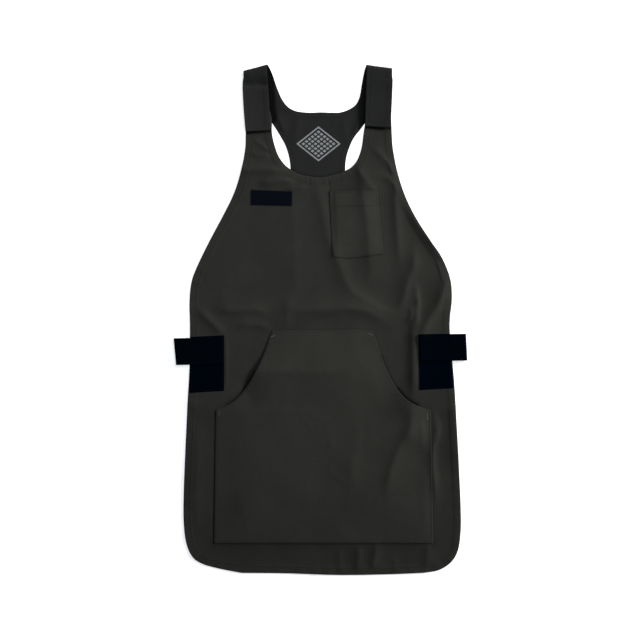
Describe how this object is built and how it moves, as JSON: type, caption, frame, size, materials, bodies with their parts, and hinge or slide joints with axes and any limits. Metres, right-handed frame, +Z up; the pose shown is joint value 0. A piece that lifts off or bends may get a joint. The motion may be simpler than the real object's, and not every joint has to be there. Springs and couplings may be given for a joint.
{
  "type": "grill apron",
  "caption": "Dark canvas bib apron lying flat, with racer back yoke, folded shoulder straps, kangaroo and chest pockets, loop patches and a webbing waist strap.",
  "frame": {"origin": "centre of the footprint, on the surface that the apron lies on", "axes": "+X to the right as seen from above with the front facing up, +Y towards the shoulder straps, +Z up out of the front"},
  "size_m": [0.558, 0.9698, 0.0142],
  "materials": {
    "canvas": "plain-woven dark olive-grey cotton canvas, matte",
    "loop_tape": "black napped loop tape, matte",
    "webbing": "black ribbed webbing, slight sheen",
    "label_cloth": "black woven label, satin, bare"
  },
  "bodies": {
    "root": {"front_panel": "canvas", "back_yoke": "canvas", "kangaroo_pocket": "canvas", "chest_pocket": "canvas", "side_patch_left": "loop_tape", "side_patch_right": "loop_tape", "shoulder_tape_left": "loop_tape", "shoulder_tape_right": "loop_tape", "waist_strap": "webbing", "chest_label": "label_cloth"}
  },
  "joints": []
}
